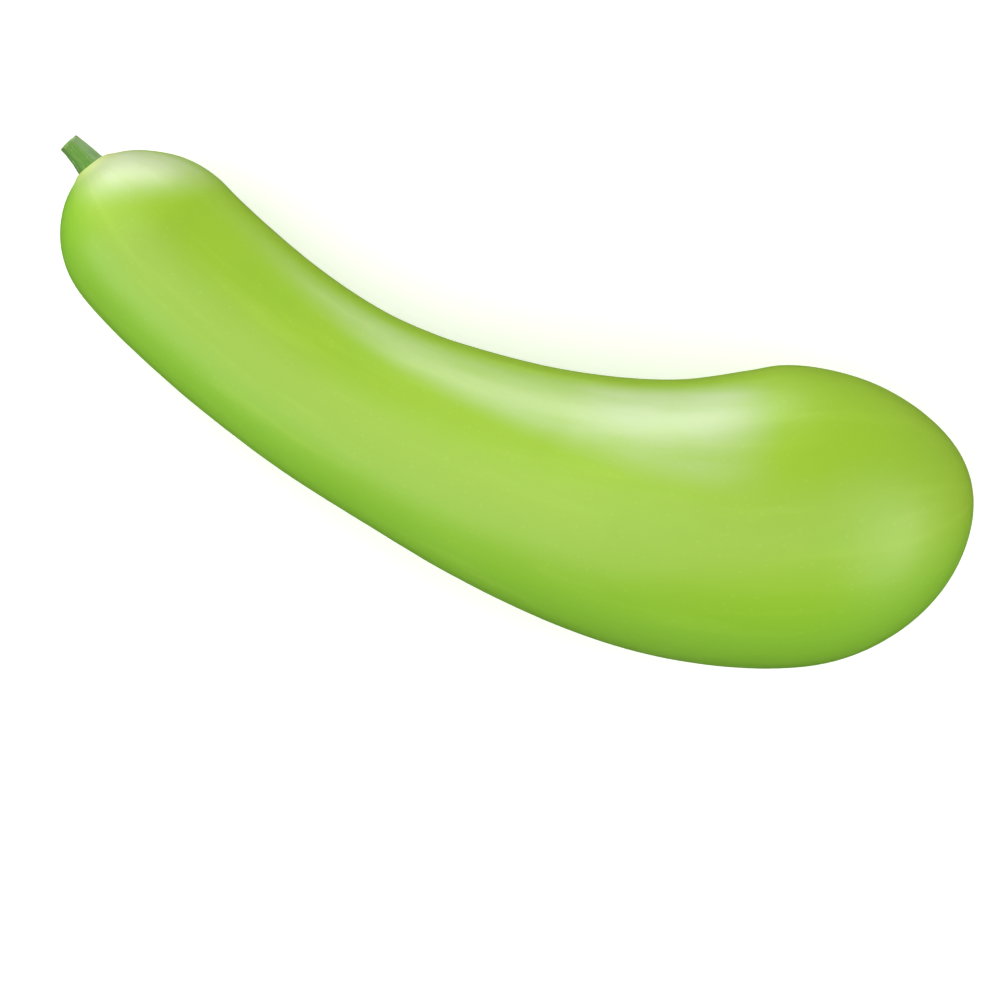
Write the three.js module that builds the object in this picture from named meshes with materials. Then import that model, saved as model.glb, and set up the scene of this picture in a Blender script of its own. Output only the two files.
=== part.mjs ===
// A bottle gourd with the stub of its stalk, lying on its side.
// Millimetres. +X runs from the stem end to the blossom end, +Z is up and z = 0 is the surface it lies on.
import * as THREE from "three";
import { mergeVertices } from "three/addons/utils/BufferGeometryUtils.js";

// The middle of the fruit from stem end to blossom end: x, y and height. It bends in plan, towards -Y.
const middleKnots = [
  [-168.6, 40.1, 35.5],
  [-121.1, 11.1, 33.5],
  [-48.6, -10.9, 36],
  [34.9, -15.4, 44.7],
  [106.9, 0.1, 54.2],
  [177.9, 38.6, 44.5],
];

// Girth along the fruit, measured from the stem end.
const neckRadius = 34;
const bulbRadius = 54.5;
const swellStart = 62; // where the neck starts to thicken
const swellPower = 1.6; // over 1, the neck stays slim for longer
const stemDome = { length: 40, power: 1.95 };
const blossomDome = { length: 70, power: 1.85 };
const stemLean = 2.6; // how far the stem end hooks towards -Y

// A soft crease on the inside of the bend, where the neck runs into the bulb.
const crease = { at: 282, width: 32, depth: 1.8 };

// Five low ribs that run from the stem's angles onto the shoulder.
const angles = 5;
const rib = { height: 0.7, fade: 14 };

// The flat seat under the stem, and the scar that the flower left.
const seatDepth = 0.6;
const scar = { edge: 0.3, floorRadius: 2.2, depth: 0.9 };

// The stem: a five-angled stub, flared where it meets the fruit and cut across at its tip.
const stemLength = 12.2;
const stemBaseRadius = 5.8;
const stemTipRadius = 4.1;
const stemFlare = 1.25; // power of the taper, over 1 for a flared foot
const stemAngledness = 0.7; // 0 for a round section, 1 for sharp corners and flat sides
const stemAside = 0.5; // the stem stands this far to the -Y side of its seat's middle
const stemTipShift = 1.2; // and its tip this far further
const stemCutSlant = { across: 0.1, up: 0.2 }; // slopes of the cut, which faces up a little
const stemEdge = 0.5; // the cut's edge is worn round by this much
const stemGap = 0.3; // between the stem's foot and its seat

const fruitSides = 48;
const fruitRings = 56;
const stemSides = 40;
const stemRings = 10;

const up = new THREE.Vector3(0, 0, 1);
const { clamp, lerp, smoothstep } = THREE.MathUtils;

const middle = new THREE.CatmullRomCurve3(
  middleKnots.map((knot) => new THREE.Vector3(...knot)),
  false,
  "catmullrom",
  0.5,
);
middle.arcLengthDivisions = 1000;
const length = middle.getLength();

// How much of its full girth a rounded end has, at a distance from its pole.
function domed(distance, dome) {
  const left = clamp(1 - distance / dome.length, 0, 1);
  return (1 - left ** dome.power) ** (1 / dome.power);
}

function girth(s) {
  const swell = smoothstep(s, swellStart, length - blossomDome.length) ** swellPower;
  return lerp(neckRadius, bulbRadius, swell) * domed(s, stemDome) * domed(length - s, blossomDome);
}

// How far the skin stands out over the plain girth. The angle runs from the fruit's top towards -Y.
function relief(s, angle) {
  const ribs = (rib.height * (1 - Math.cos(angles * angle)) * Math.exp(-s / rib.fade)) / 2;
  const along = (s - crease.at) / crease.width;
  const inside = clamp(-Math.sin(angle), 0, 1) ** 2;
  return ribs + crease.depth * along * Math.exp((1 - along * along) / 2) * inside;
}

// Distances along a body, closer together towards its two ends.
function spread(from, to, count) {
  return Array.from({ length: count + 1 }, (_, i) =>
    lerp(from, to, (1 - Math.cos((Math.PI * i) / count)) / 2),
  );
}

// Directions square to the way a body runs: top is the nearest to straight up, and right is on its -Y side.
function crossAxes(forward) {
  const right = new THREE.Vector3().crossVectors(forward, up).normalize();
  const top = new THREE.Vector3().crossVectors(right, forward).normalize();
  return { right, top };
}

// A closed body turned from a profile, with each point then put where place(s, angle, radius) says.
function turned(profile, sides, place) {
  const lathe = new THREE.LatheGeometry(profile, sides);
  lathe.deleteAttribute("uv");
  lathe.deleteAttribute("normal");
  const points = lathe.getAttribute("position");
  for (let i = 0; i < points.count; i++) {
    const radius = Math.hypot(points.getX(i), points.getZ(i));
    const angle = Math.atan2(points.getX(i), points.getZ(i));
    const placed = place(points.getY(i), angle, radius);
    points.setXYZ(i, placed.x, placed.y, placed.z);
  }
  const body = mergeVertices(lathe, 1e-4);
  body.computeVertexNormals();
  return body;
}

// A point of the fruit's straightened shape, bent round the middle line and rested on the flat surface.
function bent(s, angle, radius) {
  const u = clamp(s / length, 0, 1);
  const forward = middle.getTangentAt(u);
  const { right, top } = crossAxes(forward);
  const lean = stemLean * clamp(1 - s / stemDome.length, 0, 1) ** 2;
  const outer = radius > scar.floorRadius ? radius + relief(s, angle) : radius;
  const point = middle
    .getPointAt(u)
    .addScaledVector(right, lean + outer * Math.sin(angle))
    .addScaledVector(top, outer * Math.cos(angle));
  point.z = Math.max(point.z, 0);
  return point;
}

function fruit() {
  const scarAt = length - scar.edge;
  const profile = [
    new THREE.Vector2(0, seatDepth),
    ...spread(seatDepth, scarAt, fruitRings).map((s) => new THREE.Vector2(girth(s), s)),
    new THREE.Vector2(scar.floorRadius, scarAt - scar.depth),
    new THREE.Vector2(0, scarAt - scar.depth),
  ];
  const skin = new THREE.MeshStandardMaterial({ color: 0xa6d045, roughness: 0.35, metalness: 0 });
  const mesh = new THREE.Mesh(turned(profile, fruitSides, bent), skin);
  mesh.name = "fruit";
  return mesh;
}

// Radius of a five-cornered section with a flat side on top, as a share of its corner's radius.
function angled(angle) {
  const side = (2 * Math.PI) / angles;
  const fromMidSide = THREE.MathUtils.euclideanModulo(angle + side / 2, side) - side / 2;
  return lerp(1, Math.cos(side / 2) / Math.cos(fromMidSide), stemAngledness);
}

function stem() {
  const taper = (s) => lerp(stemTipRadius, stemBaseRadius, (1 - s / stemLength) ** stemFlare);
  const profile = [
    new THREE.Vector2(0, 0),
    ...Array.from({ length: stemRings + 1 }, (_, i) => {
      const s = ((stemLength - stemEdge) * i) / stemRings;
      return new THREE.Vector2(taper(s), s);
    }),
    new THREE.Vector2(stemTipRadius - stemEdge, stemLength),
    new THREE.Vector2(0, stemLength),
  ];

  const fruitward = middle.getTangentAt(0);
  const outward = fruitward.clone().negate();
  const { right, top } = crossAxes(fruitward);
  const seat = middle
    .getPointAt(0)
    .addScaledVector(right, stemLean * (1 - seatDepth / stemDome.length) ** 2 + stemAside)
    .addScaledVector(outward, stemGap - seatDepth);
  // Its left as seen from the fruit is the fruit's right, which keeps its faces pointing out.
  const place = (s, angle, radius) => {
    const grown = s / stemLength;
    const across = -radius * angled(angle) * Math.sin(angle);
    const over = radius * angled(angle) * Math.cos(angle);
    const slanted = s - grown * (stemCutSlant.across * across + stemCutSlant.up * over);
    return seat
      .clone()
      .addScaledVector(outward, slanted)
      .addScaledVector(right, across + stemTipShift * grown ** 2)
      .addScaledVector(top, over);
  };
  const rind = new THREE.MeshStandardMaterial({ color: 0x76a74c, roughness: 0.6, metalness: 0 });
  const mesh = new THREE.Mesh(turned(profile, stemSides, place), rind);
  mesh.name = "stem";
  return mesh;
}

const gourd = new THREE.Group();
gourd.add(fruit(), stem());

export default gourd;
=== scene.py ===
import math

import bmesh
import bpy
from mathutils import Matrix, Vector


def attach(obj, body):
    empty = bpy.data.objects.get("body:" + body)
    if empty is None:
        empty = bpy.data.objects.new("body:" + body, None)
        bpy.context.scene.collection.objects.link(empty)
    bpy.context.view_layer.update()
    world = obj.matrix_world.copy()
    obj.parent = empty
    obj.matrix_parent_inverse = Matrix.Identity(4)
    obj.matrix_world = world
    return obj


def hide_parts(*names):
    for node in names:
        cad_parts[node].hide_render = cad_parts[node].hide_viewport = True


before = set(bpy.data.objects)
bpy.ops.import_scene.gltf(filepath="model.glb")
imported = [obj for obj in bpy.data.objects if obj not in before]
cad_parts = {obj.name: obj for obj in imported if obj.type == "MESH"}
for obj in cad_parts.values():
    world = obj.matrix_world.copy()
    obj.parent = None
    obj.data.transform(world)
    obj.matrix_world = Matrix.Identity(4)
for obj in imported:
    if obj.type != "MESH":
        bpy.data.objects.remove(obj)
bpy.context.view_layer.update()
bpy.ops.object.select_all(action="DESELECT")

# The fruit's form. A bottle gourd grows as one piece round a line that bends as it hangs: a slim neck that
# swells into a round bulb. It is drawn straight here, ring by ring, and then bent round its middle line.
middle_knots = [
    (-0.1686, 0.0401, 0.0355),
    (-0.1211, 0.0111, 0.0335),
    (-0.0486, -0.0109, 0.0360),
    (0.0349, -0.0154, 0.0447),
    (0.1069, 0.0001, 0.0542),
    (0.1779, 0.0386, 0.0445),
]
middle_steps = 64
neck_radius = 0.034
bulb_radius = 0.0545
swell_start = 0.062
swell_power = 1.6
stem_dome = (0.040, 1.95)  # length, and the power of its rounding
blossom_dome = (0.070, 1.85)
stem_lean = 0.0026
seat_depth = 0.0006
seat_rings = (0.003, 0.0012)
scar_edge = 0.0003
fruit_sides = 96
fruit_rings = 84
hair = 1e-6  # closer than this is the same place

bpy.ops.curve.primitive_bezier_curve_add()
middle = bpy.context.object
middle.data.twist_mode = "Z_UP"
middle.data.resolution_u = middle_steps
line = middle.data.splines[0]
line.bezier_points.add(len(middle_knots) - len(line.bezier_points))
last = len(middle_knots) - 1
for i, point in enumerate(line.bezier_points):
    here = Vector(middle_knots[i])
    before, after = Vector(middle_knots[max(i - 1, 0)]), Vector(middle_knots[min(i + 1, last)])
    slope = (after - before) / (2 if 0 < i < last else 1)
    point.handle_left_type = point.handle_right_type = "FREE"
    point.co, point.handle_left, point.handle_right = here, here - slope / 3, here + slope / 3
fruit_length = line.calc_length()


def smooth_step(x):
    x = min(max(x, 0), 1)
    return x * x * (3 - 2 * x)


def domed(distance, dome):
    """How much of its full girth a rounded end has, at a distance from its pole."""
    length, power = dome
    left = min(max(1 - distance / length, 0), 1)
    return (1 - left**power) ** (1 / power)


def girth(s):
    """The fruit's radius at a distance from its stem end."""
    swell = smooth_step((s - swell_start) / (fruit_length - blossom_dome[0] - swell_start)) ** swell_power
    plain = neck_radius + (bulb_radius - neck_radius) * swell
    return plain * domed(s, stem_dome) * domed(fruit_length - s, blossom_dome)


def first_ring(name, sides, place, radius):
    """Starts a piece as one ring round the X axis, all of it selected in edit mode."""
    bpy.ops.mesh.primitive_circle_add(
        vertices=sides, radius=radius, location=(place, 0, 0), rotation=(0, math.pi / 2, 0)
    )
    piece = bpy.context.object
    piece.name = piece.data.name = name
    bpy.ops.object.transform_apply(location=True, rotation=True, scale=True)
    bpy.ops.object.mode_set(mode="EDIT")
    bpy.ops.mesh.select_all(action="SELECT")
    return piece


def grow(rings):
    """Extrudes the selected ring on to each further (place, radius) along X."""
    for (here, radius), (there, wanted) in zip(rings, rings[1:]):
        bpy.ops.mesh.extrude_region_move(TRANSFORM_OT_translate={"value": (there - here, 0, 0)})
        share = wanted / radius
        bpy.ops.transform.resize(value=(1, share, share), center_override=(there, 0, 0))


def close_end():
    """Closes the selected ring with a fan round its middle."""
    bpy.ops.mesh.extrude_region_move()
    bpy.ops.mesh.merge(type="CENTER")


def select_where(piece, test):
    """Selects the vertices of a piece in edit mode that pass a test on their place."""
    bpy.ops.mesh.select_all(action="DESELECT")
    mesh = bmesh.from_edit_mesh(piece.data)
    for vertex in mesh.verts:
        vertex.select = test(vertex.co)
    mesh.select_flush(True)
    bmesh.update_edit_mesh(piece.data)


def ring_places(start, end, count):
    """Distances from start to end, closer together towards both."""
    return [start + (end - start) * (1 - math.cos(math.pi * i / count)) / 2 for i in range(count + 1)]


def finish_form(piece):
    """Turns the faces outwards, leaves edit mode and rounds the rings off between their points."""
    bpy.ops.mesh.select_all(action="SELECT")
    bpy.ops.mesh.normals_make_consistent(inside=False)
    bpy.ops.object.mode_set(mode="OBJECT")
    subdivide = piece.modifiers.new("smooth", "SUBSURF")
    subdivide.levels = subdivide.render_levels = 1
    bpy.ops.object.modifier_apply(modifier=subdivide.name)


places = ring_places(seat_depth, fruit_length - scar_edge, fruit_rings)
fruit = first_ring("gourd_fruit", fruit_sides, places[0], girth(places[0]))
grow([(s, girth(s)) for s in places])

# The scar that the flower left: a shallow round pit in the blossom end, with a low rim and the nub of the
# style in its middle. It is part of the fruit's own skin, as is the flat seat under the stem.
scar_profile = [  # depth behind the rim, and radius
    (0.0001, 0.0036),
    (0.0006, 0.0031),
    (0.0009, 0.0024),
    (0.0009, 0.0015),
    (0.0005, 0.0010),
    (0.0003, 0.0005),
]
rim = places[-1]
grow([(rim, girth(rim))] + [(rim - depth, radius) for depth, radius in scar_profile])
close_end()
select_where(fruit, lambda co: co.x < places[0] + hair)
grow([(places[0], radius) for radius in (girth(places[0]), *seat_rings)])
close_end()
finish_form(fruit)

# The skin's relief, on the straight fruit: low ribs that run on from the stem's angles, a collar round the
# stem's seat, a soft fold inside the bend where the neck runs into the bulb, and sides a little fuller or
# leaner. The straight places are kept as an attribute first, so that the pattern follows them.
stem_angles = 5
rib_height, rib_fade = 0.0007, 0.014
collar_height, collar_radius, collar_width = 0.0005, 0.0072, 0.0016
crease_at, crease_width, crease_depth = 0.282, 0.032, 0.0018
fullness = [  # place along, spread, height, and the side: 1 outside the bend, -1 inside it
    (0.007, 0.009, -0.0010, -1),
    (0.038, 0.010, -0.0004, -1),
    (0.075, 0.030, 0.0005, -1),
    (0.340, 0.014, 0.0006, -1),
    (0.028, 0.012, 0.0007, 1),
    (0.110, 0.030, 0.0004, 1),
    (0.185, 0.015, 0.0003, 1),
    (0.280, 0.085, 0.0007, 1),
]

grown = fruit.data.attributes.new("grown", "FLOAT_VECTOR", "POINT")
for vertex, kept in zip(fruit.data.vertices, grown.data):
    kept.vector = vertex.co
    s, radius = vertex.co.x, math.hypot(vertex.co.y, vertex.co.z)
    if radius < hair:
        continue
    angle = math.atan2(-vertex.co.y, vertex.co.z)
    ribs = rib_height * (1 - math.cos(stem_angles * angle)) / 2 * math.exp(-s / rib_fade)
    along = (s - crease_at) / crease_width
    inside = max(-math.sin(angle), 0) ** 2
    crease = crease_depth * along * math.exp((1 - along * along) / 2) * inside
    fuller = sum(
        height * math.exp(-(((s - at) / spread) ** 2)) * max(math.sin(angle) * towards, 0)
        for at, spread, height, towards in fullness
    )
    at_seat = min(radius / (2 * collar_radius), 1) if s < fruit_length / 2 else 1
    wider = (radius + (ribs + crease + fuller) * at_seat) / radius
    vertex.co.y, vertex.co.z = vertex.co.y * wider, vertex.co.z * wider
    vertex.co.y -= stem_lean * max(1 - s / stem_dome[0], 0) ** 2
    if s < fruit_length / 2:
        vertex.co.x -= collar_height * math.exp(-(((radius - collar_radius) / collar_width) ** 2))


def roughen(piece, name, size, detail, height):
    """Moves the surface in and out by a cloudy pattern, so many metres across and so many high."""
    clouds = bpy.data.textures.new(name, "CLOUDS")
    clouds.noise_scale, clouds.noise_depth = size, detail
    uneven = piece.modifiers.new(name, "DISPLACE")
    uneven.texture, uneven.strength, uneven.mid_level = clouds, height, 0.5
    bpy.ops.object.modifier_apply(modifier=uneven.name)


def bend_round_middle(piece):
    """Bends a straight piece round the middle line."""
    bend = piece.modifiers.new("bend", "CURVE")
    bend.object, bend.deform_axis = middle, "POS_X"
    bpy.ops.object.modifier_apply(modifier=bend.name)


# Growth leaves the skin a little uneven: slow swells as wide as a thumb, and a finer ripple on them.
roughen(fruit, "swells", size=0.050, detail=1, height=0.0005)
roughen(fruit, "ripple", size=0.011, detail=1, height=0.00016)
bend_round_middle(fruit)

# It lies on three low spots, under the neck, the middle and the bulb, each pressed a little flat.
for vertex in fruit.data.vertices:
    vertex.co.z = max(vertex.co.z, 0)
bpy.ops.object.shade_smooth()
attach(fruit, "root")
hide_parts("fruit")

# The skin: a thin waxy rind, light green, deeper along the outer side of the bend, partly its own tone and
# partly painted shade, and paler below, where it lay on the ground. It has a pale bloom round the neck's end
# and inside the bend, which is also a painted highlight there, faint streaks, flecks, a yellowish ring round
# the stem and a corky scar.
rind_green = (0.296, 0.515, 0.006, 1)
# The deeper green serves the rind's mottle and also paints shade on the outer side of the bend.
rind_deep_and_shade = (0.207, 0.495, 0.002, 1)
rind_pale = (0.430, 0.660, 0.050, 1)
# The pale bloom colours, white and grey, which also paint highlights on the skin.
bloom_and_highlight_white = (0.630, 0.680, 0.580, 1)
bloom_and_highlight_grey = (0.580, 0.550, 0.520, 1)
fleck_pale = (0.520, 0.740, 0.130, 1)
ring_yellow = (0.640, 0.720, 0.190, 1)
ground_pale = (0.560, 0.640, 0.170, 1)
cork_tan = (0.400, 0.310, 0.130, 1)
cork_dark = (0.150, 0.095, 0.035, 1)

skin = bpy.data.materials.new("gourd_rind")
skin.use_nodes = True
tree = skin.node_tree
tree.nodes.clear()


def node(kind, **values):
    """Adds a shader node. Each value is what goes into the input of that name, or else a setting."""
    made = tree.nodes.new("ShaderNode" + kind)
    sockets = {socket.identifier.lower().replace(" ", "_"): socket for socket in made.inputs}
    for name, value in values.items():
        if name not in sockets:
            setattr(made, name, value)
        elif isinstance(value, bpy.types.NodeSocket):
            tree.links.new(value, sockets[name])
        else:
            sockets[name].default_value = value
    return made


def ramp(value, limits, reach=(0.0, 1.0)):
    """A value carried from two limits, rising or falling, to the ends of a reach, and held past them."""
    made = node(
        "MapRange",
        interpolation_type="SMOOTHSTEP",
        value=value,
        from_min=limits[0],
        from_max=limits[1],
        to_min=reach[0],
        to_max=reach[1],
    )
    return made.outputs["Result"]


def times(a, b):
    return node("Math", operation="MULTIPLY", value=a, value_001=b).outputs["Value"]


def band(value, start, full, fade, end):
    """A share that rises from start to full, and falls from fade to end."""
    return times(ramp(value, (start, full)), ramp(value, (end, fade)))


def shifted(value, factor, by):
    """A value, with a factor times another added."""
    added = node("Math", operation="MULTIPLY_ADD", value=by, value_001=factor, value_002=value)
    return added.outputs["Value"]


def tinted(under, over, share):
    """One colour over another, by a share."""
    return node("Mix", data_type="RGBA", a_color=under, b_color=over, factor_float=share).outputs[2]


def noise(vector, scale, detail=3.0, roughness=0.5):
    return node("TexNoise", vector=vector, scale=scale, detail=detail, roughness=roughness).outputs["Fac"]


def drawn_noise(straight, around, pull, scale, detail=3.0, roughness=0.5):
    """Noise drawn out along the piece: it changes with the side, and by the pull with each metre along."""
    drawn = node(
        "VectorMath", operation="MULTIPLY_ADD", vector=straight, vector_001=(pull, 0, 0), vector_002=around
    )
    return noise(drawn.outputs["Vector"], scale, detail, roughness)


def bump(height, strength, distance, **under):
    return node("Bump", strength=strength, distance=distance, height=height, **under).outputs["Normal"]


def straight_places():
    """Where a point was before the bend: its place, place along, distance from the axis, and way off it."""
    straight = node("Attribute", attribute_name="grown").outputs["Vector"]
    off_axis = node("VectorMath", operation="MULTIPLY", vector=straight, vector_001=(0, 1, 1))
    off_axis = off_axis.outputs["Vector"]
    from_axis = node("VectorMath", operation="LENGTH", vector=off_axis).outputs["Value"]
    around = node("VectorMath", operation="NORMALIZE", vector=off_axis).outputs["Vector"]
    along = node("SeparateXYZ", vector=straight).outputs["X"]
    return straight, along, from_axis, around


straight, along, from_axis, around = straight_places()
inner = node("SeparateXYZ", vector=around).outputs["Y"]  # 1 inside the bend, -1 outside it
top = node("SeparateXYZ", vector=around).outputs["Z"]  # 1 on top, -1 below
streaks = drawn_noise(straight, around, pull=2.4, scale=7)
mottle = noise(straight, scale=26, detail=4, roughness=0.55)
cells = node("TexVoronoi", vector=straight, scale=380).outputs
pores = noise(straight, scale=950, detail=2)
scar_grain = noise(straight, scale=1300, detail=4, roughness=0.7)

# Each part of the pattern starts at one limit and is full at the other, and the noise that breaks it up has
# its own limits and reach. The painted highlight, a pale bloom, in the bend widens as it nears the bulb, and
# the one at the neck's end runs further along the inner side.
shaded_side = (-0.15, -1.0)
bend_spread, bend_start, bend_end = 2.5, (0.80, 1.05), (0.95, 0.80)
bend_along = (0.02, 0.15, 0.268, 0.298)
fold_side = (0.38, 0.66, 0.80, 0.94)
fold_along = (0.200, 0.250, 0.276, 0.300)
neck_spread, neck_along, neck_side = -0.020, (0.025, -0.004), (1.10, 0.80)
ground_side = (-0.35, -1.0)
ring_along = (0.0050, 0.0006)
fleck_edge, fleck_chance = (0.32, 0.10), (0.50, 0.62)
scar_along = (fruit_length - 0.0024, fruit_length - 0.0018)
scar_ragged, scar_radius, pit_radius = 0.0018, (0.0056, 0.0044), (0.0038, 0.0026)
dark_on_grain = (0.40, 0.66)
deep_on_mottle = ((0.52, 0.80), (0, 0.25))
pale_on_streaks = ((0.50, 0.78), (0, 0.20))
highlight_on_mottle, highlight_on_streaks = ((0.30, 0.60), (0.8, 1)), ((0.30, 0.55), (0.75, 1))
ground_on_mottle = ((0.35, 0.60), (0.6, 1))
wax_on_mottle = ((0.3, 0.7), (0.42, 0.50))

# Painted shade: the outer side of the bend is made deeper green, partly the rind's own tone and partly shade
# painted in.
shaded_outer = ramp(inner, shaded_side)
# Painted highlight: pale bloom inside the bend, in the fold by the bulb and round the neck's end, where the
# shine falls.
bend_highlight = times(ramp(shifted(inner, bend_spread, along), bend_start), ramp(inner, bend_end))
bend_highlight = times(bend_highlight, band(along, *bend_along))
fold_highlight = times(band(inner, *fold_side), band(along, *fold_along))
neck_highlight = times(ramp(shifted(along, neck_spread, inner), neck_along), ramp(inner, neck_side))
highlight_breaks = times(ramp(mottle, *highlight_on_mottle), ramp(streaks, *highlight_on_streaks))
below = times(ramp(top, ground_side), ramp(mottle, *ground_on_mottle))
at_stem = ramp(along, ring_along)
on_fleck = times(ramp(cells["Distance"], fleck_edge), ramp(cells["Color"], fleck_chance))
ragged = shifted(from_axis, scar_ragged, scar_grain)
at_scar = times(ramp(along, scar_along), ramp(ragged, scar_radius))
scar_pit = ramp(ragged, pit_radius)

neck_highlight_share, bend_highlight_share, fold_highlight_share = 0.54, 0.24, 0.28
fleck_share, ground_share, ring_share, pit_share = 0.10, 0.45, 0.55, 0.5
colour = tinted(rind_green, rind_deep_and_shade, shaded_outer)
colour = tinted(colour, rind_deep_and_shade, ramp(mottle, *deep_on_mottle))
colour = tinted(colour, rind_pale, ramp(streaks, *pale_on_streaks))
# The painted highlights: pale bloom laid over the rind round the neck's end, inside the bend and in the
# fold.
colour = tinted(colour, bloom_and_highlight_grey, times(neck_highlight, times(highlight_breaks, neck_highlight_share)))
colour = tinted(colour, bloom_and_highlight_white, times(bend_highlight, times(highlight_breaks, bend_highlight_share)))
colour = tinted(colour, bloom_and_highlight_white, times(fold_highlight, times(highlight_breaks, fold_highlight_share)))
colour = tinted(colour, fleck_pale, times(on_fleck, fleck_share))
colour = tinted(colour, ground_pale, times(below, ground_share))
colour = tinted(colour, ring_yellow, times(at_stem, ring_share))
cork = tinted(cork_tan, cork_dark, ramp(scar_grain, dark_on_grain))
cork = tinted(cork, cork_dark, times(scar_pit, pit_share))
colour = tinted(colour, cork, at_scar)

cork_roughness = 0.85
waxy = ramp(mottle, *wax_on_mottle)
dulled = node("Mix", data_type="FLOAT", a_float=waxy, b_float=cork_roughness, factor_float=at_scar)
broad = bump(streaks, strength=0.08, distance=0.0006)
fine = bump(pores, strength=0.12, distance=0.0002, normal=broad)
corky = bump(times(scar_grain, at_scar), strength=0.7, distance=0.0005, normal=fine)
shader = node(
    "BsdfPrincipled",
    base_color=colour,
    roughness=dulled.outputs[0],
    normal=corky,
    ior=1.45,
    subsurface_weight=0.06,
    subsurface_radius=(1.0, 1.0, 0.3),
    subsurface_scale=0.004,
    coat_weight=1.0,
    coat_roughness=0.46,
)
node("OutputMaterial", surface=shader.outputs["BSDF"])
fruit.data.materials.append(skin)

# The stem: the stub of the stalk that the fruit hung from, woody and five-angled, with a ridge on each angle
# and finer ones between. It flares into its seat, where it has grown into the fruit, and was cut across.
stem_length = 0.0122
stem_foot = 0.0003
stem_sunk = 0.0016
stem_foot_radius, stem_tip_radius = 0.0058, 0.0041
stem_flare = 1.25
stem_angledness = 0.85
stem_aside = 0.0005
stem_tip_shift = 0.0012
stem_cut_slant = (0.1, 0.2)
stem_edge = 0.0005
ridge_height, ridge_count = 0.00011, 20
stem_sides = 80
stem_rings = 22


def stem_girth(s):
    """The stem's radius at a distance from its foot."""
    return stem_tip_radius + (stem_foot_radius - stem_tip_radius) * (1 - s / stem_length) ** stem_flare


stem_side_end = stem_length - stem_edge
stem_places = [-stem_sunk + (stem_side_end + stem_sunk) * i / stem_rings for i in range(stem_rings + 1)]
bpy.ops.object.select_all(action="DESELECT")
stem = first_ring("gourd_stem", stem_sides, stem_foot + stem_sunk, stem_girth(-stem_sunk))
grow([(stem_foot - s, stem_girth(s)) for s in stem_places])

# The cut across its tip: a worn edge, the rind's rim, and the pith, shrunk back a little as it dried.
tip = stem_foot - stem_length
worn = 0.00015
cut_profile = [  # depth behind the tip, and radius
    (worn, stem_tip_radius - worn),
    (0, stem_tip_radius - stem_edge),
    (0, stem_tip_radius * 0.80),
    (0.00025, stem_tip_radius * 0.74),
    (0.00020, stem_tip_radius * 0.60),
    (0.00035, stem_tip_radius * 0.45),
    (0.00060, stem_tip_radius * 0.25),
    (0.00080, stem_tip_radius * 0.12),
]
side_end = (stem_foot - stem_side_end, stem_tip_radius)
grow([side_end] + [(tip + depth, radius) for depth, radius in cut_profile])
close_end()
select_where(stem, lambda co: co.x > stem_foot + stem_sunk - hair)
close_end()
finish_form(stem)

side_angle = 2 * math.pi / stem_angles
seat_aside = stem_aside + stem_lean * (1 - seat_depth / stem_dome[0]) ** 2
slant_across, slant_up = stem_cut_slant
grown = stem.data.attributes.new("grown", "FLOAT_VECTOR", "POINT")
for vertex, kept in zip(stem.data.vertices, grown.data):
    kept.vector = vertex.co
    s, radius = stem_foot - vertex.co.x, math.hypot(vertex.co.y, vertex.co.z)
    if radius < hair:
        continue
    angle = math.atan2(-vertex.co.y, vertex.co.z)
    from_mid_side = (angle + side_angle / 2) % side_angle - side_angle / 2
    flat = math.cos(side_angle / 2) / math.cos(from_mid_side)
    angled = 1 + (flat - 1) * stem_angledness
    share = min(s / stem_length, 1)
    ridges = ridge_height * math.cos(ridge_count * angle) * min(radius / stem_tip_radius, 1) ** 4
    wanted = radius * angled + ridges
    vertex.co.y, vertex.co.z = vertex.co.y * wanted / radius, vertex.co.z * wanted / radius
    vertex.co.x += share * (slant_up * vertex.co.z - slant_across * vertex.co.y)
    vertex.co.y -= stem_tip_shift * max(share, 0) ** 2 + seat_aside

roughen(stem, "gnarls", size=0.0022, detail=2, height=0.00025)
bend_round_middle(stem)
bpy.ops.object.shade_smooth()
bpy.data.objects.remove(middle)
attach(stem, "root")
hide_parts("stem")

# The stalk is dull and fibrous: mid green, deeper in the grooves, with painted shade deepening its outer
# side and painted light greying its inner side, and drying to brown at the cut, whose face has the same
# greens, with fibres that run to its middle.
stalk_green = (0.125, 0.300, 0.038, 1)
# The deep green serves the fibres and also paints shade on the stalk's outer side.
stalk_deep_and_shade = (0.060, 0.170, 0.025, 1)
stalk_pale = (0.300, 0.460, 0.150, 1)
# A pale grey green that paints light on the stalk's inner side.
stalk_lit_grey = (0.235, 0.355, 0.175, 1)
dry_brown = (0.200, 0.150, 0.070, 1)

stalk = bpy.data.materials.new("gourd_stalk")
stalk.use_nodes = True
tree = stalk.node_tree
tree.nodes.clear()
straight, along, _, around = straight_places()
inner = node("SeparateXYZ", vector=around).outputs["Y"]
fibres = drawn_noise(straight, around, pull=45, scale=6, detail=4, roughness=0.65)
grain = noise(straight, scale=900)

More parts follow.
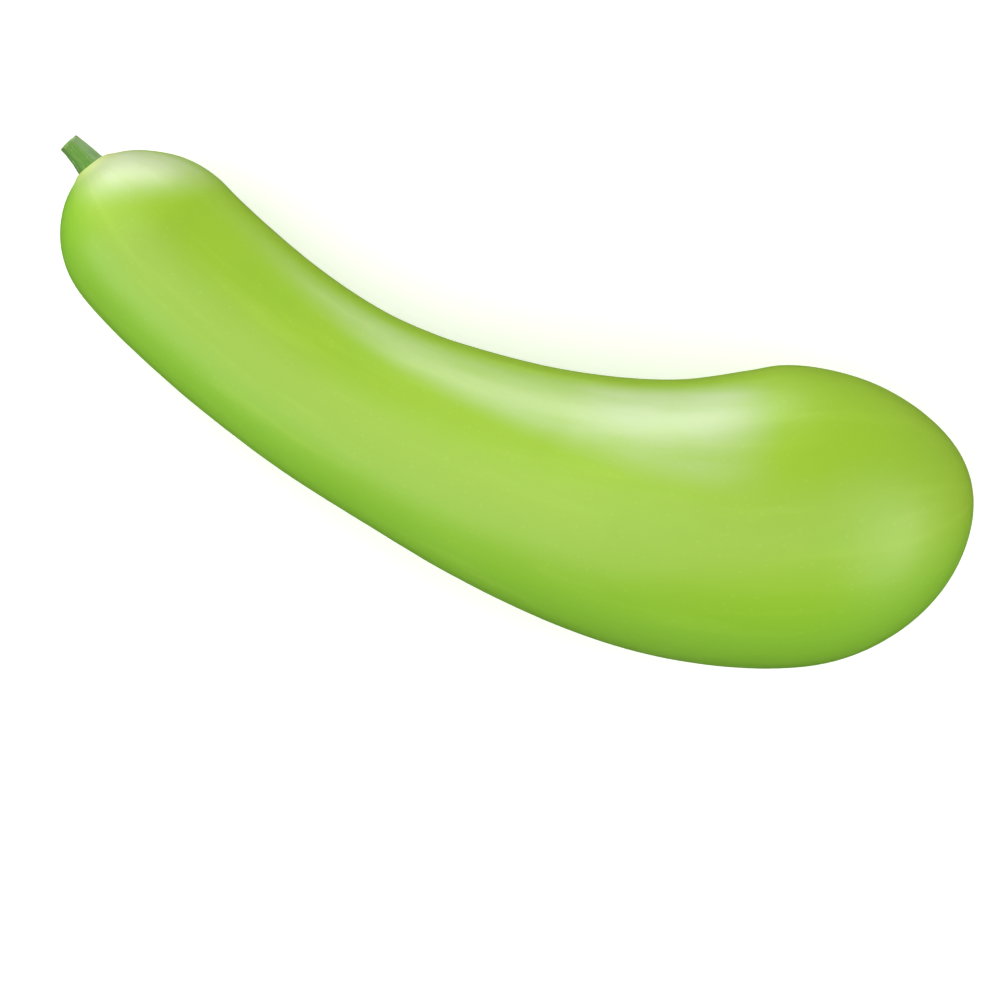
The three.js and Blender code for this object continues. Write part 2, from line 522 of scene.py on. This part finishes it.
# Painted shade on the stalk's outer side and painted light on its inner side, as on shaded and lit facets.
shaded_outer_side, lit_inner_side, side_light_share = (-0.45, -0.85), (0.15, 0.70), 0.65
drying_along = (tip + 0.0035, tip)
deep_on_fibres, pale_on_fibres = ((0.56, 0.74), (0, 0.8)), ((0.46, 0.30), (0, 0.75))
brown_on_grain = ((0.45, 0.65), (0, 0.5))
dull_on_fibres = ((0.3, 0.7), (0.52, 0.70))
colour = tinted(stalk_green, stalk_deep_and_shade, times(ramp(inner, shaded_outer_side), side_light_share))
colour = tinted(colour, stalk_lit_grey, times(ramp(inner, lit_inner_side), side_light_share))
colour = tinted(colour, stalk_deep_and_shade, ramp(fibres, *deep_on_fibres))
colour = tinted(colour, stalk_pale, ramp(fibres, *pale_on_fibres))
colour = tinted(colour, dry_brown, times(ramp(along, drying_along), ramp(grain, *brown_on_grain)))
shader = node(
    "BsdfPrincipled",
    base_color=colour,
    roughness=ramp(fibres, *dull_on_fibres),
    normal=bump(fibres, strength=0.5, distance=0.0002),
    ior=1.45,
)
node("OutputMaterial", surface=shader.outputs["BSDF"])
stem.data.materials.append(stalk)

# The floor: one pale matt sheet, wide enough to fill every view. It glows a little, and more far off, so
# that it stays white in views from the side. Like the walls, it is hidden from glossy rays, which leaves
# most of the skin's shine to the panels.
floor_size = 12
floor_white, floor_grain = (0.93, 0.93, 0.93, 1), (0.90, 0.90, 0.90, 1)
glow_distance, glow_strength = (0.5, 1.9), (0.25, 0.62)
bpy.ops.object.select_all(action="DESELECT")
bpy.ops.mesh.primitive_plane_add(size=floor_size, location=(0, 0, 0))
floor = bpy.context.object
floor.name = floor.data.name = "floor"
paper = bpy.data.materials.new("floor_paper")
paper.use_nodes = True
tree = paper.node_tree
tree.nodes.clear()
on_floor = node("TexCoord").outputs["Object"]
from_gourd = node("VectorMath", operation="LENGTH", vector=on_floor).outputs["Value"]
shader = node(
    "BsdfPrincipled",
    base_color=tinted(floor_grain, floor_white, noise(on_floor, scale=400, detail=2)),
    roughness=0.9,
    specular_ior_level=0.0,
    emission_color=(1, 1, 1, 1),
    emission_strength=ramp(from_gourd, glow_distance, glow_strength),
)
node("OutputMaterial", surface=shader.outputs["BSDF"])
floor.data.materials.append(paper)
floor.visible_glossy = False

# The camera looks straight down on the gourd, turned so that the stem end is at the picture's top left.
picture_turn = math.radians(20.4)
middle_of_picture = Vector((0.0164, -0.0261, 0.045))
lens, sensor = 120, 36  # millimetres
seen_width = 0.37
farthest_seen = 50
bpy.ops.object.camera_add(
    location=middle_of_picture + Vector((0, 0, seen_width * lens / sensor)), rotation=(0, 0, picture_turn)
)
camera = bpy.context.object
camera.data.lens, camera.data.sensor_width = lens, sensor
camera.data.clip_end = farthest_seen
bpy.context.scene.camera = camera

# The light is a plain studio's: large soft panels round the gourd and over it, each turned to its middle,
# and pale walls. The two low panels at the picture's top make the long soft shine inside the bend.
lit_middle = Vector((0, 0, 0.04))
panel_distance = 1.1
panels = [  # name, degrees round from the picture's right, degrees up, width, depth, and power in watts
    ("low_top_panel", 107, 4, 0.95, 0.20, 6.2),
    ("low_top_left_panel", 133, 6, 0.5, 0.25, 1.9),
    ("right_panel", 342, 22, 0.9, 0.6, 3.6),
    ("high_right_panel", 5, 38, 0.8, 0.6, 1.5),
    ("left_panel", 200, 20, 0.8, 0.4, 2.1),
    ("far_left_panel", 170, 20, 0.8, 0.4, 0.6),
    ("high_left_panel", 218, 38, 0.8, 0.6, 1.5),
    ("over_left_panel", 160, 58, 0.9, 0.9, 3.4),
    ("over_front_panel", 250, 64, 0.9, 0.9, 2.1),
    ("over_right_panel", 340, 66, 0.9, 0.9, 2.2),
]
for name, direction, height, width, depth, power in panels:
    turn, rise = math.radians(direction) + picture_turn, math.radians(height)
    towards = Vector((math.cos(turn) * math.cos(rise), math.sin(turn) * math.cos(rise), math.sin(rise)))
    light = bpy.data.lights.new(name, "AREA")
    light.shape, light.size, light.size_y, light.energy = "RECTANGLE", width, depth, power
    lamp = bpy.data.objects.new(name, light)
    bpy.context.collection.objects.link(lamp)
    lamp.location = lit_middle + towards * panel_distance
    lamp.rotation_euler = towards.to_track_quat("Z", "Y").to_euler()
    lamp.visible_camera = False

wall_brightness = 0.36
world = bpy.data.worlds.new("studio_walls")
bpy.context.scene.world = world
world.use_nodes = True
walls = world.node_tree.nodes["Background"].inputs
walls["Color"].default_value = (1, 1, 1, 1)
walls["Strength"].default_value = wall_brightness
world.cycles_visibility.glossy = False
bpy.context.scene.view_settings.view_transform = "Standard"
